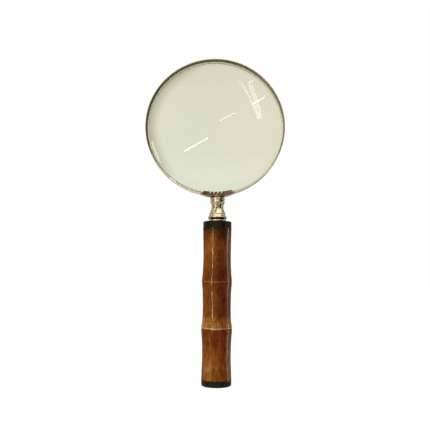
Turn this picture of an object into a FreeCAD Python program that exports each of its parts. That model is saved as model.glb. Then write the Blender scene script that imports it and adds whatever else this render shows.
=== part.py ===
import FreeCAD, Part
import math
import os

# Hand magnifier: a large round lens in a thin plated band, on a turned stem that
# screws into a bamboo handle with black end caps.
# Millimetres. +Z runs up the handle to the lens, the lens faces -Y, and the origin
# is the centre of the flat butt of the handle.

V = FreeCAD.Vector
X_AXIS = V(1, 0, 0)
Y_AXIS = V(0, 1, 0)
Z_AXIS = V(0, 0, 1)

# ---- driving dimensions: head ----------------------------------------------------
ring_height = 188.9           # lens centre above the butt
ring_offset = -2.2            # the hand-set ring stands a little to one side of the stem
band_outer_r = 52.0
band_thick = 1.1
band_depth = 10.0
band_butt_gap = 0.4           # the rolled strip's two ends meet inside the saddle
band_edge_r = 0.4
lens_r = 50.4
lens_edge = 2.2
lens_centre = 13.0
gasket_flange = 0.5
gasket_swell = 0.15           # the lens is a little thicker at the lips than at its edge
gasket_lip_r = 49.9           # how far in the gasket's two side lips reach
wire_r = 0.45
wire_stand_in = 0.3           # how far a snap wire stands in from the band
wire_gap_angle = 8.0          # opening between a snap wire's ends
strap_half_angle = 11.9       # joint strap, each way from the stem's axis
strap_height = 1.15
strap_width = 2.0
strap_setback = 0.15
notch_count = 4               # slanted cuts across the middle of the strap
notch_pitch = 2.75
notch_width = 1.25
notch_depth = 0.8
notch_lean = 32.0
notch_shift = 0.7
saddle_half_width = 13.0
saddle_bottom = 135.6
saddle_depth = 7.0
saddle_edge_r = 0.3
saddle_seat_r = 4.7
saddle_seat_root = 1.2        # how far the seat runs up into the crescent
tenon_r = 2.2

# ---- driving dimensions: stem and thread -----------------------------------------
stem_top = 135.1
stem_bottom = 119.0
stem_top_r = 5.5
stem_top_edge = 0.3
stem_top_bevel = 0.09         # how much the rounded top edge keeps of a square corner
collar_r = 5.32               # foot of the waisted collar
collar_bottom = 131.6
collar_hollow = 0.15
collar_lip_in = 0.06
collar_lip_down = 0.3
neck_points = [               # (radius, height) from the collar's lip down to the bell
    (5.05, 131.1), (4.62, 130.1), (4.42, 128.3), (4.6, 126.5), (5.15, 125.1), (5.68, 123.7),
]
cushion_r = 5.95
cushion_height = 123.0
groove_r = 5.88
groove_height = 122.4
groove_sweep = 0.22           # bulge of the sweep from the groove out to the flange
flange_top_r = 6.45
flange_top = 121.4
flange_r = 6.85
flange_height = 120.2
flange_bottom = 119.4
flange_tuck = 0.2             # how far the rim draws in at its foot
relief_r = 5.0                # shadow gap between the flange and the washer
tenon_bottom = 127.6
pin_r = 0.75
pin_height = 132.9
pin_half_length = 4.75
pin_turn = 37.0               # degrees from the front, towards +X
stud_r = 2.5                  # M5 x 0.8
stud_root_r = 2.03
thread_pitch = 0.8
thread_crest = 0.12
thread_root_gap = 0.08        # flat left at the root between two turns
thread_bite = 0.15            # how far the ridge runs into the stud's core
thread_lead_in = 0.6          # plain tip below the first turn
stud_top = 126.4
stud_bottom = 97.2
stud_undercut = 1.2
washer_r = 6.4
washer_thick = 1.6
washer_hole_r = 2.75
washer_edge_r = 0.6

# ---- driving dimensions: handle --------------------------------------------------
handle_top = 117.3
top_cap_height = 4.8
top_cap_r = 10.4
bottom_cap_height = 4.1
bottom_cap_r = 10.75
butt_edge_r = 1.4
cap_edge_r = 0.35
upper_node = 73.6             # the bamboo's two swollen joints
lower_node = 40.2
culm_points = [               # (radius, height) of the culm, waisted between its nodes
    (10.45, 112.5), (10, 91.5), (10.3, 81.0), (10.87, 73.6), (10.42, 66.8), (10.2, 56.0),
    (10.42, 46.5), (11.2, 40.2), (10.62, 32.4), (10.25, 21.5), (10.5, 12.0), (10.78, 4.1),
]
culm_bore_r = 5.5
septum_thick = 3.6
septum_hole_r = 2.5
top_plug_length = 28.0
bottom_plug_length = 20.0
insert_r = 4.0
insert_bore_r = 2.56
insert_bottom = 98.4
insert_pocket_spare = 1.2     # the plug's pocket runs on below the insert
insert_groove_count = 4       # glue grooves round the insert
insert_groove_start = 2.5
insert_groove_pitch = 3.0
insert_groove_width = 0.8
insert_groove_depth = 0.35
spigot_r = 3.0
spigot_length = 9.0

ring_centre = V(ring_offset, 0, ring_height)
band_inner_r = band_outer_r - band_thick
culm_top = handle_top - top_cap_height
culm_bottom = bottom_cap_height


def arc(start, middle, end):
    return Part.Arc(V(*start), V(*middle), V(*end)).toShape()


def line(start, end):
    return Part.LineSegment(V(*start), V(*end)).toShape()


def cylinder(radius, bottom, top):
    return Part.makeCylinder(radius, top - bottom, V(0, 0, bottom), Z_AXIS)


def fillet_circles(shape, radius, wanted):
    """Round the circular edges for which wanted(edge radius, centre) is true."""
    edges = []
    for edge in shape.Edges:
        if isinstance(edge.Curve, Part.Circle) and wanted(edge.Curve.Radius, edge.Curve.Center):
            edges.append(edge)
    return shape.makeFillet(radius, edges)


def turned(edges):
    """Solid turned about the handle's axis from an outline in the XZ plane."""
    face = Part.Face(Part.Wire(Part.__sortEdges__(edges)))
    return face.revolve(V(0, 0, 0), Z_AXIS, 360)


def around_ring(face, start=0.0, sweep=360.0):
    """Solid swept round the lens axis from a section drawn at the foot of the ring.

    The section holds x = 0, y along the lens axis and z = minus the radius.
    Angles in degrees start at the foot and run towards +X.
    """
    solid = face.revolve(V(0, 0, 0), Y_AXIS, -sweep)
    solid.rotate(V(0, 0, 0), Y_AXIS, -start)
    solid.translate(ring_centre)
    return solid


def ring_section(points):
    """Face from (radius, y) corners, ready for around_ring."""
    corners = [V(0, y, -radius) for radius, y in points]
    return Part.Face(Part.makePolygon(corners + corners[:1]))


def lens():
    half_edge = lens_edge / 2
    half_centre = lens_centre / 2
    sag = half_centre - half_edge
    curve_r = (lens_r ** 2 + sag ** 2) / (2 * sag)
    middle = lens_r / 2
    middle_y = half_centre - curve_r + math.sqrt(curve_r ** 2 - middle ** 2)
    edges = [
        arc((0, -half_centre, 0), (0, -middle_y, -middle), (0, -half_edge, -lens_r)),
        line((0, -half_edge, -lens_r), (0, half_edge, -lens_r)),
        arc((0, half_edge, -lens_r), (0, middle_y, -middle), (0, half_centre, 0)),
        line((0, half_centre, 0), (0, -half_centre, 0)),
    ]
    return around_ring(Part.Face(Part.Wire(edges)))


def gasket_half_width():
    return lens_edge / 2 + gasket_swell + gasket_flange


def lens_gasket():
    """Soft channel strip that wraps the lens edge."""
    half = gasket_half_width()
    section = ring_section([
        (band_inner_r, -half), (band_inner_r, half), (gasket_lip_r, half), (gasket_lip_r, -half),
    ])
    return around_ring(section).cut(lens())


def wire_ring_r():
    return band_inner_r - wire_stand_in + wire_r


def wire_y():
    return gasket_half_width() + wire_r


def snap_wire(side):
    """Open spring wire in the band's groove; side is -1 at the front, 1 at the back."""
    circle = Part.Circle(V(0, side * wire_y(), -wire_ring_r()), X_AXIS, wire_r)
    face = Part.Face(Part.Wire([circle.toShape()]))
    return around_ring(face, wire_gap_angle / 2, 360 - wire_gap_angle)


def rim_band():
    """Strip rolled into a ring, its ends meeting at the foot, grooved for the wires."""
    half = band_depth / 2
    section = ring_section([
        (band_inner_r, -half), (band_inner_r, half), (band_outer_r, half), (band_outer_r, -half),
    ])
    gap_angle = math.degrees(band_butt_gap / band_outer_r)
    band = around_ring(section, gap_angle / 2, 360 - gap_angle)
    band = fillet_circles(band, band_edge_r, lambda radius, centre: radius > band_inner_r - 1)
    for side in (-1, 1):
        groove = Part.makeTorus(wire_ring_r(), wire_r, ring_centre + V(0, side * wire_y(), 0), Y_AXIS)
        band = band.cut(groove)
    return band


def joint_strap():
    """Copper strap brazed inside the front lip over the strip's two ends."""
    front = -band_depth / 2 + strap_setback
    section = ring_section([
        (band_inner_r, front), (band_inner_r, front + strap_width),
        (band_inner_r - strap_height, front + strap_width), (band_inner_r - strap_height, front),
    ])
    stem_angle = math.degrees(math.asin(-ring_offset / band_inner_r))
    strap = around_ring(section, stem_angle - strap_half_angle, 2 * strap_half_angle)
    foot_z = ring_height - band_inner_r + strap_height / 2
    for index in range(notch_count):
        x = (index - (notch_count - 1) / 2) * notch_pitch + notch_shift
        notch = Part.makeBox(notch_width, 2 * notch_depth, 4 * strap_height)
        notch.translate(V(-notch_width / 2, -notch_depth, -2 * strap_height))
        notch.rotate(V(0, 0, 0), Y_AXIS, notch_lean)
        notch.translate(V(x, front, foot_z))
        strap = strap.cut(notch)
    return strap


def saddle():
    """Crescent cradle under the ring, with a seat and a tenon for the stem."""
    def band_z(x):
        return ring_height - math.sqrt(band_outer_r ** 2 - (x - ring_offset) ** 2)

    left = -saddle_half_width
    right = saddle_half_width
    front = -saddle_depth / 2
    edges = [
        arc((left, front, band_z(left)), (0, front, saddle_bottom), (right, front, band_z(right))),
        arc((right, front, band_z(right)), (0, front, band_z(0)), (left, front, band_z(left))),
    ]
    crescent = Part.Face(Part.Wire(edges)).extrude(V(0, saddle_depth, 0))
    under = [edge for edge in crescent.Edges
             if edge.BoundBox.ZMin < saddle_bottom + 0.01 and edge.BoundBox.YLength < 0.01]
    crescent = crescent.makeFillet(saddle_edge_r, under)
    seat = cylinder(saddle_seat_r, stem_top, saddle_bottom + saddle_seat_root)
    tenon = cylinder(tenon_r, tenon_bottom, saddle_bottom + saddle_seat_root)
    return crescent.fuse([seat, tenon]).removeSplitter().cut(pin_hole())


def pin_direction():
    turn = math.radians(pin_turn)
    return V(math.sin(turn), -math.cos(turn), 0)


def pin_rod(radius, half_length):
    direction = pin_direction()
    start = V(0, 0, pin_height) - direction * half_length
    return Part.makeCylinder(radius, 2 * half_length, start, direction)


def pin_hole():
    return pin_rod(pin_r, 2 * stem_top_r)


def tenon_pin():
    """Steel pin through the stem and the saddle's tenon."""
    return pin_rod(pin_r, pin_half_length)


def ferrule():
    """Turned, vase-shaped stem: a waisted collar, a slim neck, a bell and a rolled flange."""
    def at(radius, height):
        return (radius, 0, height)

    neck = Part.BSplineCurve()
    neck.interpolate([V(*at(radius, height)) for radius, height in neck_points])
    top_edge = at(stem_top_r - stem_top_edge, stem_top)
    top_side = at(stem_top_r, stem_top - stem_top_edge)
    top_corner = at(stem_top_r - stem_top_bevel, stem_top - stem_top_bevel)
    collar_middle = at((stem_top_r + collar_r) / 2 - collar_hollow, (stem_top + collar_bottom) / 2)
    collar_foot = at(collar_r, collar_bottom)
    collar_lip = at(collar_r - collar_lip_in, collar_bottom - collar_lip_down)
    neck_start = at(*neck_points[0])
    neck_end = at(*neck_points[-1])
    cushion = at(cushion_r, cushion_height)
    groove = at(groove_r, groove_height)
    sweep = at(groove_r + groove_sweep, (groove_height + flange_top) / 2)
    shoulder = at(flange_top_r, flange_top)
    rim = at(flange_r, flange_height)
    rim_foot = at(flange_r - flange_tuck, flange_bottom)
    edges = [
        line((0, 0, stem_top), top_edge),
        arc(top_edge, top_corner, top_side),
        arc(top_side, collar_middle, collar_foot),
        arc(collar_foot, collar_lip, neck_start),
        neck.toShape(),
        arc(neck_end, cushion, groove),
        arc(groove, sweep, shoulder),
        arc(shoulder, rim, rim_foot),
        line(rim_foot, at(relief_r, flange_bottom)),
        line(at(relief_r, flange_bottom), at(relief_r, stem_bottom)),
        line(at(relief_r, stem_bottom), (0, 0, stem_bottom)),
        line((0, 0, stem_bottom), (0, 0, stem_top)),
    ]
    body = turned(edges)
    tenon_bore = cylinder(tenon_r, tenon_bottom, stem_top)
    stud_bore = cylinder(stud_r, stem_bottom, stud_top)
    return body.cut(tenon_bore.fuse(stud_bore)).cut(pin_hole())


def threaded_stud():
    """Screwed stud, plain where it is fixed in the stem and threaded below it."""
    plain = cylinder(stud_r, stem_bottom, stud_top)
    tip = cylinder(stud_root_r, stud_bottom, stem_bottom)
    start = stud_bottom + thread_lead_in
    length = stem_bottom - stud_undercut - start
    helix = Part.makeHelix(thread_pitch, length, stud_root_r)
    flank = (thread_pitch - thread_root_gap) / 2
    root = stud_root_r - thread_bite
    profile = Part.makePolygon([
        V(root, 0, -flank), V(stud_r, 0, -thread_crest / 2),
        V(stud_r, 0, thread_crest / 2), V(root, 0, flank), V(root, 0, -flank),
    ])
    ridge = Part.Wire(helix.Edges).makePipeShell([profile], True, True)
    ridge.translate(V(0, 0, start))
    return plain.fuse(tip).removeSplitter().fuse(ridge)


def collar_washer():
    """Loose bright collar between the stem's foot and the handle."""
    top = handle_top + washer_thick
    body = cylinder(washer_r, handle_top, top).cut(cylinder(washer_hole_r, handle_top, top))
    return fillet_circles(body, washer_edge_r, lambda radius, centre: abs(radius - washer_r) < 0.01)


def top_end_cap():
    body = cylinder(top_cap_r, culm_top, handle_top).cut(cylinder(insert_r, culm_top, handle_top))
    return fillet_circles(
        body, cap_edge_r, lambda radius, centre: radius > insert_r + 1 and centre.z > culm_top + 1)


def bottom_end_cap():
    disc = cylinder(bottom_cap_r, 0, culm_bottom)
    disc = fillet_circles(disc, butt_edge_r, lambda radius, centre: centre.z < 0.01)
    return disc.fuse(cylinder(spigot_r, culm_bottom, culm_bottom + spigot_length)).removeSplitter()


def culm_outline():
    """Half outline of the culm from its top to its foot."""
    waists = Part.BSplineCurve()
    waists.interpolate([V(radius, 0, height) for radius, height in culm_points])
    return waists.toShape()


def bamboo_culm():
    top_r = culm_points[0][0]
    foot_r = culm_points[-1][0]
    edges = [
        culm_outline(),
        line((foot_r, 0, culm_bottom), (0, 0, culm_bottom)),
        line((0, 0, culm_bottom), (0, 0, culm_top)),
        line((0, 0, culm_top), (top_r, 0, culm_top)),
    ]
    body = turned(edges)
    bore = cylinder(culm_bore_r, culm_bottom, culm_top)
    for node in (lower_node, upper_node):
        bottom = node - septum_thick / 2
        septum = cylinder(culm_bore_r, bottom, bottom + septum_thick)
        hole = cylinder(septum_hole_r, bottom, bottom + septum_thick)
        bore = bore.cut(septum.cut(hole))
    return body.cut(bore)


def top_plug():
    """Hardwood plug that holds the threaded insert."""
    plug = cylinder(culm_bore_r, culm_top - top_plug_length, culm_top)
    return plug.cut(cylinder(insert_r, stud_bottom - insert_pocket_spare, culm_top))


def bottom_plug():
    plug = cylinder(culm_bore_r, culm_bottom, culm_bottom + bottom_plug_length)
    return plug.cut(cylinder(spigot_r, culm_bottom, culm_bottom + spigot_length))


def threaded_insert():
    """Brass bush that the stud screws into, flush with the top cap."""
    bush = cylinder(insert_r, insert_bottom, handle_top)
    for index in range(insert_groove_count):
        bottom = insert_bottom + insert_groove_start + index * insert_groove_pitch
        ring = cylinder(insert_r, bottom, bottom + insert_groove_width)
        core = cylinder(insert_r - insert_groove_depth, bottom, bottom + insert_groove_width)
        bush = bush.cut(ring.cut(core))
    return bush.cut(cylinder(insert_bore_r, insert_bottom, handle_top))


SUB_PARTS = {
    "lens": lens,
    "lens_gasket": lens_gasket,
    "front_snap_wire": lambda: snap_wire(-1),
    "rear_snap_wire": lambda: snap_wire(1),
    "rim_band": rim_band,
    "joint_strap": joint_strap,
    "saddle": saddle,
    "tenon_pin": tenon_pin,
    "ferrule": ferrule,
    "threaded_stud": threaded_stud,
    "collar_washer": collar_washer,
    "top_end_cap": top_end_cap,
    "threaded_insert": threaded_insert,
    "top_plug": top_plug,
    "bamboo_culm": bamboo_culm,
    "bottom_plug": bottom_plug,
    "bottom_end_cap": bottom_end_cap,
}

os.makedirs("parts", exist_ok=True)
for node, make in SUB_PARTS.items():
    shape = make()
    print(node, shape.ShapeType, len(shape.Solids), shape.isValid(), round(shape.Volume, 1))
    shape.exportStep("parts/" + node + ".step")
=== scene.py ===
import math

import bpy
from mathutils import Matrix, Vector, noise


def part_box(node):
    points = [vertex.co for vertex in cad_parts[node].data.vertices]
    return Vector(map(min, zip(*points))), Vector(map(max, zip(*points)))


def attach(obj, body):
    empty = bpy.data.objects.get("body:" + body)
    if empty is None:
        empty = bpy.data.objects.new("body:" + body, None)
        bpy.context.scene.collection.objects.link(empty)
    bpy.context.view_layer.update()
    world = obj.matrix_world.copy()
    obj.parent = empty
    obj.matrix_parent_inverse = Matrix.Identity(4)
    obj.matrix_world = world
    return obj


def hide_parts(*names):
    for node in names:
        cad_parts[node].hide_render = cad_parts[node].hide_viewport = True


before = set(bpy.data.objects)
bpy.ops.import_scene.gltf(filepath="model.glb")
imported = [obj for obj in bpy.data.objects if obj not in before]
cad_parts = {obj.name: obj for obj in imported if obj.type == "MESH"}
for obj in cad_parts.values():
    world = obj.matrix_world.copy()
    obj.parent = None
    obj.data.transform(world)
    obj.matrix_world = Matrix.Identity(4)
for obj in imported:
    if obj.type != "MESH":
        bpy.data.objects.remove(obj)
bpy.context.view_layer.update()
MM = 0.001


# ---- places read from the frame ---------------------------------------------------
def middle(node):
    low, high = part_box(node)
    return (low + high) / 2


lens_low, lens_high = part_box("lens")
culm_low, culm_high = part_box("bamboo_culm")
ring = middle("rim_band")
RING = Vector((ring.x, 0.0, ring.z))
LENS_R = (lens_high.x - lens_low.x) / 2

# ---- shapes, in millimetres unless a comment says otherwise -----------------------
LENS_EDGE = 2.2               # thickness of the lens at its rim
NOTCH_PITCH = 2.75 * MM       # metres
NOTCH_SHIFT = 0.7 * MM        # metres
NOTCH_LEAN = 32.0             # degrees
CULM_BORE = 5.5               # radius
SEPTUM_HOLE = 2.5             # radius
SEPTUM_HALF = 1.8             # half the thickness of the wall left at each node
SKIN_FROM = 8.0               # a point of the culm further out than this is on its skin
UPPER_NODE = 73.6             # height of its line
LOWER_NODE = 40.8             # height of its line, a little above the widest place
UPPER_WAVE = 0.8              # share of the wave that the upper node has
END_CALM = 3.0                # the skin's relief fades out over this length at each end
WAVE_TERMS = [                # (height in mm, waves round the culm, phase)
    (0.30, 1, 0.0), (0.16, 2, 1.571), (0.09, 5, 1.0), (0.05, 9, 2.0),
]
CULM_KNOTS = [                # (radius, height) of the culm as in the CAD, waisted between nodes
    (10.78, 4.1), (10.5, 12.0), (10.25, 21.5), (10.62, 32.4), (11.2, 40.2), (10.42, 46.5),
    (10.2, 56.0), (10.42, 66.8), (10.87, 73.6), (10.3, 81.0), (10, 91.5), (10.45, 112.5),
]

# ---- fineness of the meshes -------------------------------------------------------
SHARP_ANGLE = 35.0            # degrees from which an edge isn't shaded smooth
ON_AXIS = 1e-9                # a smaller radius than this is a pole
LENS_RINGS = 56
LENS_SEGMENTS = 256
CULM_STEPS = 30               # between two knots
CULM_SEGMENTS = 192
SURROUND_RINGS = 24
SURROUND_SEGMENTS = 48
FLOOR_SEGMENTS = 64

# ---- camera and surroundings, in metres or degrees --------------------------------
CAMERA_PLACE = (-1.8 * MM, -0.4106, 0.0722)
CAMERA_RISE = 6.98            # how far it looks up
CAMERA_ROLL = 0.45
SENSOR_WIDTH = 36.0           # mm
FOCAL_LENGTH = 46.9           # mm
SURROUND_R = 6.0
FLOOR_R = 5.5
FLOOR_DROP = 0.0002           # how far the floor lies below the butt
FAR_PANE = 2.0                # distance of the tube lamps in front of the lens
NEAR_PANE = 0.5               # and of the window
SHORT_TUBE = 0.48             # and of the short tubes, just in front of the window


# ---- mesh helpers -----------------------------------------------------------------
def mesh_object(name, points, faces):
    mesh = bpy.data.meshes.new(name)
    mesh.from_pydata([tuple(p) for p in points], [], faces)
    mesh.validate()
    mesh.shade_smooth()
    mesh.set_sharp_from_angle(angle=math.radians(SHARP_ANGLE))
    obj = bpy.data.objects.new(name, mesh)
    bpy.context.scene.collection.objects.link(obj)
    return obj


def loft(name, outline, segments, place, closed):
    """Surface of revolution. outline lists (radius, height); place(r, h, turn) gives a point.

    A closed outline makes a ring-like body, an open one starts and ends on the axis.
    """
    points = []
    faces = []
    rows = []
    for radius, height in outline:
        if radius < ON_AXIS:
            rows.append([len(points)] * segments)
            points.append(place(0.0, height, 0.0))
            continue
        rows.append(list(range(len(points), len(points) + segments)))
        for step in range(segments):
            points.append(place(radius, height, 2 * math.pi * step / segments))
    pairs = len(rows) if closed else len(rows) - 1
    for index in range(pairs):
        lower = rows[index]
        upper = rows[(index + 1) % len(rows)]
        for step in range(segments):
            following = (step + 1) % segments
            corners = [lower[step], lower[following], upper[following], upper[step]]
            unique = list(dict.fromkeys(corners))
            if len(unique) > 2:
                faces.append(unique)
    return mesh_object(name, points, faces)


def upright(radius, height, turn):
    return Vector((radius * math.cos(turn), radius * math.sin(turn), height))


def about_lens(radius, depth, turn):
    """Point at this distance from the lens axis and this far along it, towards the back."""
    return RING + Vector((radius * math.sin(turn), depth, radius * math.cos(turn)))


def smooth_curve(knots, steps):
    """Catmull-Rom curve through (radius, height) knots."""
    padded = [knots[0]] + list(knots) + [knots[-1]]
    found = []
    for index in range(1, len(padded) - 2):
        a, b, c, d = (Vector(p) for p in padded[index - 1:index + 3])
        for step in range(steps):
            t = step / steps
            point = 0.5 * (2 * b + (c - a) * t + (2 * a - 5 * b + 4 * c - d) * t * t
                           + (3 * b - a - 3 * c + d) * t ** 3)
            found.append((point.x, point.y))
    found.append(tuple(knots[-1]))
    return found


# ---- material helpers -------------------------------------------------------------
def srgb(code):
    """Linear colour from a hex code."""
    channels = [int(code[i:i + 2], 16) / 255 for i in (0, 2, 4)]
    linear = [c / 12.92 if c <= 0.04045 else ((c + 0.055) / 1.055) ** 2.4 for c in channels]
    return (*linear, 1.0)


class Nodes:
    """Helpers that build a node tree on one kind of texture coordinates."""

    def __init__(self, tree, coordinates):
        self.tree = tree
        self.where = tree.nodes.new("ShaderNodeTexCoord").outputs[coordinates]

    def join(self, source, target):
        self.tree.links.new(source, target)

    def give(self, sockets, values):
        """Set each socket to its value, or link it where the value is another socket."""
        for socket, value in zip(sockets, values):
            if isinstance(value, (int, float, tuple)):
                socket.default_value = value
            else:
                self.join(value, socket)

    def stretched(self, scale, shift=(0, 0, 0)):
        """Coordinates times scale, moved by shift."""
        node = self.tree.nodes.new("ShaderNodeMapping")
        node.inputs["Scale"].default_value = scale
        node.inputs["Location"].default_value = shift
        self.join(self.where, node.inputs["Vector"])
        return node.outputs["Vector"]

    def noise(self, scale, detail=4.0, rough=0.55, warp=0.0, shift=(0, 0, 0)):
        node = self.tree.nodes.new("ShaderNodeTexNoise")
        node.inputs["Scale"].default_value = 1.0
        node.inputs["Detail"].default_value = detail
        node.inputs["Roughness"].default_value = rough
        node.inputs["Distortion"].default_value = warp
        self.join(self.stretched(scale, shift), node.inputs["Vector"])
        return node.outputs["Fac"]

    def axis(self, name):
        node = self.tree.nodes.new("ShaderNodeSeparateXYZ")
        self.join(self.where, node.inputs[0])
        return node.outputs[name]

    def ramp(self, source, stops):
        """Colours, or greys given as one number, along a factor."""
        node = self.tree.nodes.new("ShaderNodeValToRGB")
        band = node.color_ramp
        while len(band.elements) < len(stops):
            band.elements.new(0.5)
        for element, (place, colour) in zip(band.elements, stops):
            element.position = place
            element.color = colour if isinstance(colour, tuple) else (colour, colour, colour, 1.0)
        self.join(source, node.inputs["Fac"])
        return node.outputs["Color"]

    def between(self, source, low, high, to_low=0.0, to_high=1.0):
        """Smooth step from to_low to to_high as the source goes from low to high."""
        node = self.tree.nodes.new("ShaderNodeMapRange")
        node.interpolation_type = "SMOOTHSTEP"
        values = (low, high, to_low, to_high)
        for socket, value in zip(("From Min", "From Max", "To Min", "To Max"), values):
            node.inputs[socket].default_value = value
        self.join(source, node.inputs["Value"])
        return node.outputs["Result"]

    def maths(self, operation, first, second=0.0):
        node = self.tree.nodes.new("ShaderNodeMath")
        node.operation = operation
        self.give(node.inputs, (first, second))
        return node.outputs[0]

    def add(self, first, second):
        return self.maths("ADD", first, second)

    def less(self, first, second):
        return self.maths("SUBTRACT", first, second)

    def times(self, first, second):
        return self.maths("MULTIPLY", first, second)

    def size(self, source):
        return self.maths("ABSOLUTE", source)

    def mix(self, factor, first, second):
        node = self.tree.nodes.new("ShaderNodeMix")
        node.data_type = "RGBA"
        self.give((node.inputs[0], node.inputs[6], node.inputs[7]), (factor, first, second))
        return node.outputs[2]


class Paint(Nodes):
    """A procedural material, built node by node round one Principled shader."""

    def __init__(self, name, **sockets):
        self.material = bpy.data.materials.new(name)
        self.material.use_nodes = True
        super().__init__(self.material.node_tree, "Object")
        self.shader = self.tree.nodes["Principled BSDF"]
        for socket, value in sockets.items():
            self.shader.inputs[socket.replace("_", " ")].default_value = value

    def feed(self, socket, source):
        self.join(source, self.shader.inputs[socket])

    def bump(self, height, distance, strength=1.0):
        node = self.tree.nodes.new("ShaderNodeBump")
        node.inputs["Strength"].default_value = strength
        node.inputs["Distance"].default_value = distance
        self.join(height, node.inputs["Height"])
        self.feed("Normal", node.outputs["Normal"])


# ---- materials --------------------------------------------------------------------
def polish(paint, cloud, smoothest, roughest):
    """Faint turning marks and thin cloudy wear of polished plate."""
    rings = paint.noise((40, 40, 1500), 3)
    paint.feed("Roughness", paint.between(cloud, 0.3, 0.8, smoothest, roughest))
    paint.bump(paint.add(rings, paint.times(cloud, 1.5)), 0.05 * MM, 0.7)


def collar_nickel():
    """Polished warm nickel plate."""
    paint = Paint("warm_nickel", Metallic=1.0)
    cloud = paint.noise((220, 220, 220), 5)
    paint.feed("Base Color", paint.ramp(cloud, [(0.3, srgb("dccfb8")), (0.65, srgb("f5ecdc"))]))
    polish(paint, cloud, 0.06, 0.17)
    return paint.material


def stem_nickel():
    """The stem's plate, with dark stains, and painted shade under its flange."""
    paint = Paint("stem_nickel", Metallic=1.0)
    cloud = paint.noise((260, 260, 260), 5)
    clean = paint.ramp(cloud, [(0.3, srgb("d6c6a8")), (0.65, srgb("fbf3e4"))])
    # Painted shade: under the middle of the flange the plate is darkened as if in shadow.
    flange_underside_shade = paint.between(paint.axis("Z"), 120.5 * MM, 119.9 * MM)
    stains = paint.noise((330, 330, 230), 2, 0.5, shift=(2, 5, 1))
    clean = paint.mix(paint.between(stains, 0.58, 0.66, 0.0, 0.8), clean, srgb("4a3b26"))
    paint.feed("Base Color", paint.mix(flange_underside_shade, clean, srgb("2a2212")))
    polish(paint, cloud, 0.07, 0.18)
    return paint.material


def ring_places(paint):
    """How far a point lies right of, above and away from the lens axis, in lens radii."""
    across = paint.maths("DIVIDE", paint.less(paint.axis("X"), RING.x), LENS_R)
    up = paint.maths("DIVIDE", paint.less(paint.axis("Z"), RING.z), LENS_R)
    square = paint.add(paint.times(across, across), paint.times(up, up))
    return across, up, paint.maths("SQRT", square)


def radii(distance):
    """A distance in mm, in lens radii."""
    return distance * MM / LENS_R


def band_metal():
    """Old nickel: bright outside, olive round its edges from tarnish and painted shade, with
    painted light and shade by place round the ring, browned at the joint.
    """
    paint = Paint("band_nickel", Metallic=1.0)
    across, up, away = ring_places(paint)
    cloud = paint.noise((160, 160, 160), 5)
    # Painted light by place round the ring: a pale sheen low on the left; low on the right, darker
    # outside and a pale sheen on the edge.
    low_left_sheen = paint.times(paint.between(up, -0.3, -0.8), paint.between(across, 0.1, -0.3))
    low_right_light = paint.times(paint.between(up, -0.35, -0.75), paint.between(across, -0.05, 0.35))

    # Painted light and shade on the edges: lighter above and to the right, and the inner face
    # darker towards the left.
    edge = paint.mix(paint.between(up, 0.35, 0.95), srgb("8c8d6c"), srgb("d8cab0"))
    edge = paint.mix(paint.between(across, 0.1, 0.8), edge, srgb("cabd9f"))
    edge = paint.mix(low_left_sheen, edge, (0.95, 0.86, 0.70, 1.0))
    inner_face_shade = paint.mix(paint.between(across, 0.2, 0.9), srgb("6c6b4d"), srgb("9a947c"))
    edge = paint.mix(paint.between(away, radii(51.35), radii(51.05)), edge, inner_face_shade)

    depth = paint.size(paint.axis("Y"))
    outside = paint.times(paint.between(depth, 4.85 * MM, 4.5 * MM),
                          paint.between(away, radii(51.6), radii(51.9)))
    bright = paint.ramp(cloud, [(0.3, srgb("e6dfca")), (0.7, srgb("f4efdf"))])
    bright = paint.mix(low_right_light, bright, srgb("968e6e"))
    # Painted sheen: the edge low on the right is pale and not metallic.
    low_right_edge_sheen = paint.times(low_right_light, paint.less(1.0, outside))
    edge = paint.mix(low_right_edge_sheen, edge, srgb("c3c1ab"))
    colour = paint.mix(outside, edge, bright)

    wear_and_notch_shade, centre = notch_stripes(paint, srgb("5e4b39"), srgb("b09c80"))
    mottled_colour = paint.ramp(cloud, [(0.3, srgb("5d4a3a")), (0.7, srgb("a08a76"))])
    solder = paint.mix(centre, mottled_colour, wear_and_notch_shade)
    joint = paint.times(paint.between(up, -0.9, -0.97),
                        paint.between(paint.size(paint.axis("X")), 12.6 * MM, 10.8 * MM))
    paint.feed("Base Color", paint.mix(joint, colour, solder))
    paint.feed("Metallic", paint.less(1.0, low_right_edge_sheen))
    paint.feed("Roughness", paint.between(cloud, 0.2, 0.8, 0.12, 0.3))
    paint.bump(cloud, 0.02 * MM, 0.5)
    return paint.material


def glass():
    """Old crown glass, green-cream, with painted light by place: warmer to the right, darker above,
    lighter and greener below, and a painted shadow of the rim at the left edge.
    """
    paint = Paint("lens_glass", Roughness=0.0, IOR=1.52)
    paint.shader.inputs["Transmission Weight"].default_value = 1.0
    across, up, away = ring_places(paint)
    # Painted light by place: warmer to the right, darker above, lighter and greener below.
    tint_and_painted_light = paint.mix(paint.between(across, -0.1, 0.95), (0.728, 0.748, 0.592, 1.0),
                     (0.765, 0.730, 0.580, 1.0))
    tint_and_painted_light = paint.mix(paint.between(up, 0.1, 0.95, 0.0, 0.85), tint_and_painted_light, (0.655, 0.628, 0.500, 1.0))
    tint_and_painted_light = paint.mix(paint.between(up, -0.2, -0.9, 0.0, 0.8), tint_and_painted_light, (0.79, 0.83, 0.69, 1.0))
    # Painted shadow of the rim: dark at the left edge of the glass.
    leftward = paint.add(paint.times(across, -0.95), paint.times(up, 0.25))
    rim = paint.times(paint.between(leftward, 0.3, 0.75), paint.between(away, 0.80, 1.0, 0.0, 0.95))
    tint_and_painted_light = paint.mix(rim, tint_and_painted_light, (0.45, 0.455, 0.325, 1.0))
    paint.feed("Base Color", tint_and_painted_light)
    return paint.material


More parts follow.
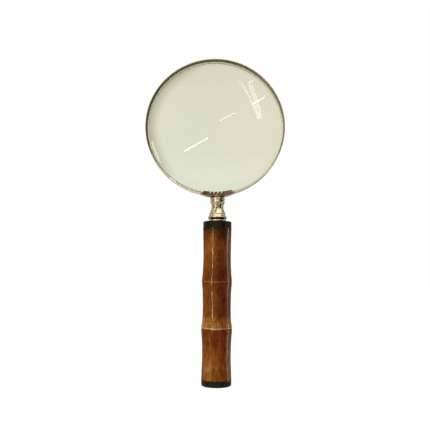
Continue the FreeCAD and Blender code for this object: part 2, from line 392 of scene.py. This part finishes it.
def vinyl():
    paint = Paint("gasket_vinyl", Roughness=0.45, IOR=1.45)
    grain = paint.noise((900, 900, 900), 3)
    paint.feed("Base Color", paint.ramp(grain, [(0.3, srgb("d6d5bf")), (0.7, srgb("efeedd"))]))
    paint.bump(grain, 0.03 * MM)
    return paint.material


def spring_wire():
    """Snap wire, dull olive, and a painted pale sheen instead of metal low on the right."""
    paint = Paint("spring_wire")
    across, up, _ = ring_places(paint)
    cloud = paint.noise((400, 400, 400), 4)
    mottled_colour = paint.ramp(cloud, [(0.3, srgb("78785c")), (0.7, srgb("a09e78"))])
    # Painted sheen: low on the right the wire is painted pale and not metallic.
    toward = paint.less(across, up)
    pale = paint.between(toward, 0.4, 1.1)
    paint.feed("Base Color", paint.mix(pale, mottled_colour, srgb("d8d6bf")))
    paint.feed("Metallic", paint.between(toward, 0.4, 1.1, 1.0, 0.0))
    paint.feed("Roughness", paint.between(cloud, 0.2, 0.8, 0.25, 0.45))
    return paint.material


def notch_stripes(paint, dark, light):
    """Slanting cuts darkened as painted shade and teeth rubbed bright between them, and a mask that
    keeps them to the middle.
    """
    lean = math.tan(math.radians(NOTCH_LEAN))
    over = paint.times(paint.less(paint.axis("Z"), middle("joint_strap").z), lean)
    slant = paint.less(paint.axis("X"), over)
    phase = paint.times(paint.less(slant, NOTCH_SHIFT), 2 * math.pi / NOTCH_PITCH)
    tooth = paint.maths("COSINE", phase)
    # Painted shade in the cuts, and real wear on the teeth between them.
    wear_and_notch_shade = paint.mix(paint.between(tooth, -0.2, 0.6), dark, light)
    return wear_and_notch_shade, paint.between(paint.size(slant), 6.2 * MM, 4.4 * MM)


def copper():
    """Tarnished brazed copper, its cut middle rubbed bright between notches darkened as painted
    shade.
    """
    paint = Paint("tarnished_copper", Metallic=0.4)
    cloud = paint.noise((500, 500, 500), 5)
    mottled_colour = paint.ramp(cloud, [(0.3, srgb("4a3024")), (0.5, srgb("72503e")), (0.72, srgb("a98570"))])
    wear_and_notch_shade, centre = notch_stripes(paint, srgb("4e3b2b"), srgb("dcc6a6"))
    paint.feed("Base Color", paint.mix(centre, mottled_colour, wear_and_notch_shade))
    paint.feed("Roughness", paint.between(cloud, 0.2, 0.8, 0.35, 0.55))
    paint.bump(cloud, 0.05 * MM)
    return paint.material


def saddle_metal():
    """Grey-brown brazed nickel, with painted shade along its lower edge."""
    paint = Paint("saddle_nickel", Metallic=0.8)
    cloud = paint.noise((420, 420, 420), 5)
    dull = paint.ramp(cloud, [(0.3, srgb("6b5f4c")), (0.7, srgb("b3a78c"))])
    away = ring_places(paint)[2]
    # Painted shade along the lower edge.
    low = paint.between(away, radii(52.7), radii(53.3))
    paint.feed("Base Color", paint.mix(low, dull, srgb("35291c")))
    paint.feed("Roughness", paint.between(cloud, 0.2, 0.8, 0.2, 0.4))
    paint.bump(cloud, 0.05 * MM)
    return paint.material


def turned_metal(name, dark, light, roughness):
    paint = Paint(name, Metallic=1.0)
    rings = paint.noise((60, 60, 2600), 3)
    paint.feed("Base Color", paint.ramp(rings, [(0.3, srgb(dark)), (0.7, srgb(light))]))
    paint.feed("Roughness", paint.between(rings, 0.2, 0.8, roughness * 0.7, roughness * 1.4))
    paint.bump(rings, 0.01 * MM)
    return paint.material


def horn():
    """Polished black horn with faint cloudy streaks."""
    paint = Paint("black_horn", IOR=1.5)
    paint.shader.inputs["Specular IOR Level"].default_value = 0.12
    streaks = paint.noise((300, 300, 40), 5, warp=0.6)
    paint.feed("Base Color", paint.ramp(streaks, [(0.3, srgb("0f0e08")), (0.8, srgb("28261a"))]))
    paint.feed("Roughness", paint.between(streaks, 0.2, 0.8, 0.25, 0.42))
    paint.bump(paint.noise((1500, 1500, 300), 3), 0.02 * MM)
    return paint.material


def raw_wood():
    paint = Paint("plug_wood", Roughness=0.6)
    grain = paint.noise((900, 900, 30), 5, warp=0.4)
    paint.feed("Base Color", paint.ramp(grain, [(0.3, srgb("8a6238")), (0.7, srgb("c49a64"))]))
    paint.bump(grain, 0.05 * MM)
    return paint.material


def around_wave(paint):
    """The same wavering line round the culm as node_wave, in millimetres."""
    turn = paint.maths("ARCTAN2", paint.axis("Y"), paint.axis("X"))
    total = 0.0
    for height, count, phase in WAVE_TERMS:
        angle = paint.add(paint.times(turn, float(count)), phase)
        total = paint.add(paint.times(paint.maths("SINE", angle), height), total)
    return total


def bamboo():
    """Scorched, mottled and lacquered bamboo with pale lines at its nodes, and painted light:
    lighter on the left, a painted sheen at the right edge, and painted shade under each node.
    """
    paint = Paint("lacquered_bamboo", Roughness=0.5)
    paint.shader.inputs["Specular IOR Level"].default_value = 0.03
    paint.shader.inputs["Coat Weight"].default_value = 0.07
    paint.shader.inputs["Coat Roughness"].default_value = 0.03
    paint.shader.inputs["Coat IOR"].default_value = 1.45
    height = paint.maths("DIVIDE", paint.axis("Z"), MM)
    top = culm_high.z / MM
    patches = paint.noise((75, 75, 34), 4, 0.6, 0.6)
    fibres = paint.noise((1100, 1100, 26), 4, 0.65)
    grain = paint.noise((700, 700, 240), 4, 0.7)
    blots = paint.noise((260, 260, 170), 3, 0.6, 0.8, shift=(3, 1, 4))
    scorch = paint.noise((95, 95, 60), 4, 0.6, 0.5, shift=(7, 2, 5))
    specks = paint.noise((1500, 1500, 1100), 3, 0.6)

    # How light the bamboo is: by height and mottled, with painted light from side to side, lighter
    # on the left and darker to the right, and a painted sheen at the right edge.
    tone_with_painted_light = paint.ramp(paint.maths("DIVIDE", height, top), [
        (0.07, 0.50), (0.13, 0.60), (0.20, 0.49), (0.28, 0.41), (0.345, 0.40), (0.362, 0.66),
        (0.38, 0.68), (0.42, 0.57), (0.44, 0.42), (0.54, 0.38), (0.70, 0.37), (0.77, 0.41),
        (0.84, 0.50), (0.91, 0.40), (0.975, 0.26)])
    # Painted light: lighter on the left and darker to the right, then a painted sheen at the right
    # edge.
    tone_with_painted_light = paint.add(tone_with_painted_light, paint.between(paint.axis("X"), -9 * MM, 7 * MM, 0.12, -0.15))
    tone_with_painted_light = paint.add(tone_with_painted_light, paint.between(paint.axis("X"), 7.5 * MM, 9.8 * MM, 0.0, 0.22))
    for layer, weight in ((patches, 0.46), (fibres, 0.40), (grain, 0.62), (blots, 0.44)):
        tone_with_painted_light = paint.add(tone_with_painted_light, paint.times(paint.less(layer, 0.5), weight))
    body = paint.ramp(tone_with_painted_light, [
        (0.05, srgb("260d03")), (0.22, srgb("421903")), (0.36, srgb("592a07")),
        (0.48, srgb("6b390d")), (0.60, srgb("7e4c1a")), (0.74, srgb("996b36")),
        (0.92, srgb("b99260"))])

    # Redder round the upper node, under the lower one and in scorched patches.
    near_node = paint.between(paint.size(paint.less(height, UPPER_NODE - 1.0)), 9.0, 1.0, 0.0, 0.6)
    under_node = paint.between(paint.size(paint.less(height, LOWER_NODE - 4.0)), 5.0, 1.5, 0.0, 0.7)
    red = paint.maths("MAXIMUM", paint.maths("MAXIMUM", near_node, under_node),
                      paint.between(scorch, 0.5, 0.68, 0.0, 0.7))
    red = paint.times(red, paint.between(grain, 0.35, 0.6, 0.5, 1.0))
    body = paint.mix(red, body, paint.mix(0.5, body, srgb("6e2606")))
    golden = paint.between(tone_with_painted_light, 0.5, 0.72)
    dots = paint.times(golden, paint.between(specks, 0.53, 0.63, 0.0, 0.8))
    body = paint.mix(dots, body, srgb("4a230f"))

    # A pale line at each node, stronger on the left as painted light, over a line of painted shade.
    wave = around_wave(paint)
    leftward = paint.between(paint.axis("X"), -6 * MM, 4 * MM, 1.0, 0.4)
    for node, share, strength, pale in ((UPPER_NODE, UPPER_WAVE, 0.7, "94653d"),
                                        (LOWER_NODE, 1.0, 1.0, "c5a57c")):
        offset = paint.less(paint.less(height, node), paint.times(wave, share))
        # Painted shade just under each node's line.
        shade_under_node = paint.between(paint.size(paint.add(offset, 0.85)), 0.7, 0.15)
        body = paint.mix(paint.times(shade_under_node, 0.7 * strength), body, srgb("391708"))
        line = paint.between(paint.size(offset), 0.8, 0.25)
        line = paint.times(line, paint.between(blots, 0.38, 0.58, 0.35, 1.0))
        line = paint.times(line, paint.times(leftward, strength))
        body = paint.mix(line, body, srgb(pale))

    # Burnt black, with a ragged border, beside each cap.
    ragged = paint.add(height, paint.times(paint.less(grain, 0.5), 1.6))
    for end, reach in ((culm_low.z / MM, 1.0), (top, -2.6)):
        burnt = paint.between(ragged, end + reach, end + 0.15 * reach)
        body = paint.mix(paint.times(burnt, 0.95), body, srgb("17130d"))
    paint.feed("Base Color", body)
    paint.bump(paint.add(fibres, paint.times(grain, 0.6)), 0.045 * MM, 0.6)
    return paint.material


# ---- pieces -----------------------------------------------------------------------
def build_lens():
    """Biconvex lens with true spherical faces."""
    half_edge = LENS_EDGE / 2 * MM
    half_centre = lens_high.y
    sag = half_centre - half_edge
    curve_r = (LENS_R ** 2 + sag ** 2) / (2 * sag)

    def face_depth(radius):
        return half_centre - curve_r + math.sqrt(curve_r ** 2 - radius ** 2)

    distances = [LENS_R * step / LENS_RINGS for step in range(LENS_RINGS + 1)]
    front = [(distance, -face_depth(distance)) for distance in distances]
    back = [(radius, -depth) for radius, depth in reversed(front)]
    piece = loft("magnifying_lens", front + back, LENS_SEGMENTS, about_lens, False)
    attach(piece, "head")
    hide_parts("lens")
    piece.data.materials.append(glass())


def node_wave(turn):
    """How far a node's line strays up or down at this turn, in mm."""
    return sum(height * math.sin(count * turn + phase) for height, count, phase in WAVE_TERMS)


def swell(distance, height, width):
    """Height of a rounded ridge, or a groove where it is negative, this far from its middle."""
    return height * math.exp(-(distance / width) ** 2)


def culm_relief(height, turn):
    """How far the bamboo's skin stands out, in mm, at this height and turn."""
    around = Vector((math.cos(turn), math.sin(turn), 0.0))
    upper = height - UPPER_NODE - UPPER_WAVE * node_wave(turn)
    lower = height - LOWER_NODE - node_wave(turn)
    relief = swell(upper, 0.16, 0.3) + swell(upper + 0.7, -0.10, 0.35)
    relief += swell(lower, 0.24, 0.35) + swell(lower + 0.85, -0.30, 0.4)
    relief += 0.12 * noise.noise(Vector((around.x * 2.2, around.y * 2.2, height * 0.03)))
    relief += 0.015 * noise.noise(Vector((around.x * 9, around.y * 9, height * 0.12)))
    end = min(abs(height - CULM_KNOTS[0][1]), abs(height - CULM_KNOTS[-1][1]))
    return relief * min(1.0, end / END_CALM)


def build_culm():
    """Hollow bamboo with a bored wall at each node, and uneven on the outside."""
    outer = smooth_curve(CULM_KNOTS, CULM_STEPS)
    inner = [(CULM_BORE, culm_high.z / MM)]
    for node in (UPPER_NODE, LOWER_NODE):
        over = node + SEPTUM_HALF
        under = node - SEPTUM_HALF
        inner += [(CULM_BORE, over), (SEPTUM_HOLE, over), (SEPTUM_HOLE, under), (CULM_BORE, under)]
    inner.append((CULM_BORE, culm_low.z / MM))

    def place(radius, height, turn):
        if radius > SKIN_FROM:
            radius += culm_relief(height, turn)
        return upright(radius * MM, height * MM, turn)

    piece = loft("bamboo_handle", outer + inner, CULM_SEGMENTS, place, True)
    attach(piece, "handle")
    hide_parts("bamboo_culm")
    piece.data.materials.append(bamboo())
    return piece


build_lens()
culm = build_culm()

FINISHES = {
    "rim_band": band_metal(),
    "saddle": saddle_metal(),
    "ferrule": stem_nickel(),
    "collar_washer": collar_nickel(),
    "lens_gasket": vinyl(),
    "front_snap_wire": spring_wire(),
    "rear_snap_wire": spring_wire(),
    "joint_strap": copper(),
    "tenon_pin": turned_metal("black_pin", "0d0c0a", "26241f", 0.4),
    "threaded_stud": turned_metal("zinc_thread", "8d8a82", "c2beb4", 0.3),
    "threaded_insert": turned_metal("brass_bush", "8f6a2c", "d0a455", 0.28),
    "top_end_cap": horn(),
    "bottom_end_cap": horn(),
    "top_plug": raw_wood(),
    "bottom_plug": raw_wood(),
    "lens": glass(),
    "bamboo_culm": bamboo(),
}
for node, finish in FINISHES.items():
    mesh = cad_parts[node].data
    mesh.materials.clear()
    mesh.materials.append(finish)


# ---- stage, light and camera ------------------------------------------------------
def glow(name, colour, strength):
    material = bpy.data.materials.new(name)
    material.use_nodes = True
    tree = material.node_tree
    tree.nodes.clear()
    emission = tree.nodes.new("ShaderNodeEmission")
    emission.inputs["Color"].default_value = (*colour, 1.0)
    emission.inputs["Strength"].default_value = strength
    output = tree.nodes.new("ShaderNodeOutputMaterial")
    tree.links.new(emission.outputs[0], output.inputs[0])
    return material


def build_dome():
    """White surround, seen directly and through the lens but not in reflections."""
    angles = [math.pi * step / SURROUND_RINGS for step in range(SURROUND_RINGS + 1)]
    outline = [(SURROUND_R * math.sin(angle), -SURROUND_R * math.cos(angle)) for angle in angles]
    dome = loft("surround", outline, SURROUND_SEGMENTS, upright, False)
    dome.data.materials.append(glow("white_surround", (1.0, 1.0, 1.0), 1.0))
    dome.visible_glossy = False
    dome.visible_diffuse = False
    dome.visible_shadow = False


def build_floor():
    """Pale floor that glows a little, so that it is as light as the surround."""
    outline = [(0.0, -FLOOR_DROP), (FLOOR_R, -FLOOR_DROP)]
    floor = loft("floor", outline, FLOOR_SEGMENTS, upright, False)
    paint = Paint("pale_floor", Base_Color=(0.20, 0.20, 0.195, 1.0), Roughness=0.9)
    paint.shader.inputs["Emission Color"].default_value = (1.0, 1.0, 1.0, 1.0)
    paint.shader.inputs["Emission Strength"].default_value = 0.89
    paint.shader.inputs["Specular IOR Level"].default_value = 0.0
    floor.data.materials.append(paint.material)
    floor.visible_glossy = False
    floor.visible_shadow = False


ROOM_SWAY = 0.5               # radians that the room's upright shapes waver
ROOM_LIGHT = 0.8              # strength of the whole room
ROOM = [                      # (bearing in degrees from the camera's side, towards +X, colour)
    (-180, (0.50, 0.47, 0.30)), (-145, (0.50, 0.47, 0.27)),
    (-112, (0.58, 0.53, 0.33)), (-98, (0.76, 0.68, 0.47)), (-82, (0.25, 0.20, 0.12)),
    (-68, (0.30, 0.25, 0.15)), (-54, (1.03, 0.90, 0.71)), (-30, (1.10, 1.0, 0.85)),
    (-14, (0.50, 0.41, 0.28)), (4, (0.50, 0.41, 0.28)), (22, (0.80, 0.70, 0.55)),
    (40, (0.20, 0.16, 0.10)), (50, (0.06, 0.045, 0.03)), (68, (0.06, 0.045, 0.03)),
    (84, (0.60, 0.58, 0.48)), (108, (0.42, 0.41, 0.31)), (140, (0.40, 0.37, 0.25)),
    (180, (0.50, 0.47, 0.30)),
]
CEILING_FRONT = (1.7, 1.6, 1.4, 1.0)
CEILING_BACK = (0.62, 0.57, 0.42, 1.0)
GROUND = (0.62, 0.58, 0.50, 1.0)
STRAIGHT_BEHIND = (0.95, 0.93, 0.84, 1.0)
GRIP = (0.0, 0.0, 0.10)       # point of the handle that the lamps face


def set_world():
    """Room that lights the object and that its metal reflects; the surround hides it otherwise.

    It is uneven all round, brightest overhead on the camera's side, and pale below and
    straight behind.
    """
    world = bpy.data.worlds.new("studio")
    bpy.context.scene.world = world
    world.use_nodes = True
    room = Nodes(world.node_tree, "Generated")
    across, depth, up = (room.axis(name) for name in "XYZ")
    clutter = room.noise((3.0, 3.0, 3.0), 2.0, 0.5)
    turn = room.maths("ARCTAN2", across, room.times(depth, -1.0))
    turn = room.add(turn, room.times(room.less(clutter, 0.5), ROOM_SWAY))
    bearing = room.add(room.maths("DIVIDE", turn, 2 * math.pi), 0.5)
    walls = room.ramp(bearing, [(angle / 360 + 0.5, (*colour, 1.0)) for angle, colour in ROOM])
    ceiling = room.mix(room.between(depth, 0.0, -0.35), CEILING_BACK, CEILING_FRONT)
    colour = room.mix(room.between(up, 0.32, 0.7), walls, ceiling)
    colour = room.mix(room.between(up, -0.35, -0.6), colour, GROUND)
    colour = room.mix(room.between(depth, 0.945, 0.98), colour, STRAIGHT_BEHIND)
    sky = world.node_tree.nodes["Background"]
    room.join(colour, sky.inputs["Color"])
    sky.inputs["Strength"].default_value = ROOM_LIGHT


def panel(name, centre, width, height, watts, colour):
    """Rectangular lamp that faces the grip and is never seen directly."""
    data = bpy.data.lights.new(name, "AREA")
    data.shape = "RECTANGLE"
    data.size = width
    data.size_y = height
    data.energy = watts
    data.color = colour
    light = bpy.data.objects.new(name, data)
    light.location = centre
    light.rotation_euler = (Vector(GRIP) - Vector(centre)).to_track_quat("-Z", "Y").to_euler()
    light.visible_camera = False
    light.visible_transmission = False
    bpy.context.scene.collection.objects.link(light)
    return light


def set_lights(lacquered_piece):
    """Two windows that only one piece reflects, and two soft lamps that are never reflected."""
    left = panel("left_window", (-0.41, -0.55, 0.19), 0.05, 0.42, 10.0, (1.0, 0.70, 0.38))
    right = panel("right_window", (0.62, 0.10, 0.15), 0.04, 0.7, 8.0, (1.0, 0.84, 0.66))
    lacquered = bpy.data.collections.new("lacquered")
    lacquered.objects.link(lacquered_piece)
    for window in (left, right):
        window.visible_diffuse = False
        window.light_linking.receiver_collection = lacquered
    key = panel("key", (-0.5, -1.0, 1.1), 0.9, 0.9, 6.5, (1.0, 0.97, 0.92))
    fill = panel("back_fill", (0.6, 1.3, 0.9), 0.9, 0.9, 8.0, (1.0, 1.0, 1.0))
    for lamp in (key, fill):
        lamp.visible_glossy = False


def pane(name, distance, corners, strength, colour, by_front):
    """Flat lamp in front of the lens, at corners (x, z), seen only as a reflection.

    One face of the lens reflects it, the front one if by_front, or else the back one.
    """
    lamp = mesh_object(name, [(x, -distance, z) for x, z in corners], [tuple(range(len(corners)))])
    lamp.data.materials.append(glow(name, colour, strength))
    lamp.visible_camera = False
    lamp.visible_diffuse = False
    lamp.visible_shadow = False
    lamp.visible_glossy = by_front
    lamp.visible_transmission = not by_front


def strip(start, end, width):
    """Corners of a thin bar from start to end, as (x, z)."""
    first = Vector(start)
    last = Vector(end)
    along = last - first
    side = Vector((-along.y, along.x)).normalized() * width / 2
    return [tuple(corner) for corner in (first - side, last - side, last + side, first + side)]


def set_reflections():
    """Tube lamps in one slanting row, and a tall window in two lights."""
    tube = (1.0, 1.0, 0.97)
    for name, distance, start, end, width, strength, by_front in (
            ("tube_front", FAR_PANE, (-0.523, 0.317), (-0.127, 0.528), 0.028, 9.0, True),
            ("tube_back", FAR_PANE, (-0.477, 0.386), (-0.095, 0.576), 0.024, 10.0, False),
            ("tube_high", SHORT_TUBE, (-0.196, 0.204), (-0.300, 0.152), 0.009, 13.0, False),
            ("tube_low", SHORT_TUBE, (-0.177, 0.080), (-0.221, 0.055), 0.006, 12.0, False)):
        pane(name, distance, strip(start, end, width), strength, tube, by_front)
    sky = (1.0, 0.94, 0.84)
    narrow = [(-0.127, 0.072), (-0.141, 0.067), (-0.257, 0.296), (-0.241, 0.298)]
    wide = [(-0.178, 0.075), (-0.211, 0.057), (-0.280, 0.288), (-0.243, 0.292)]
    at_edge = [(-0.348, 0.270), (-0.324, 0.270), (-0.272, 0.155), (-0.293, 0.151)]
    pane("window_narrow", NEAR_PANE, narrow, 6.0, sky, False)
    pane("window_wide", NEAR_PANE, wide, 6.0, sky, False)
    pane("window_edge", NEAR_PANE, at_edge, 6.5, sky, True)


def set_camera():
    data = bpy.data.cameras.new("camera")
    data.sensor_width = SENSOR_WIDTH
    data.lens = FOCAL_LENGTH
    camera = bpy.data.objects.new("camera", data)
    camera.location = CAMERA_PLACE
    tilt = Matrix.Rotation(math.radians(90 + CAMERA_RISE), 4, "X")
    roll = Matrix.Rotation(math.radians(CAMERA_ROLL), 4, "Z")
    camera.rotation_euler = (tilt @ roll).to_euler()
    bpy.context.scene.collection.objects.link(camera)
    bpy.context.scene.camera = camera


build_dome()
build_floor()
set_world()
set_lights(culm)
set_reflections()
set_camera()
bpy.context.scene.view_settings.view_transform = "Standard"
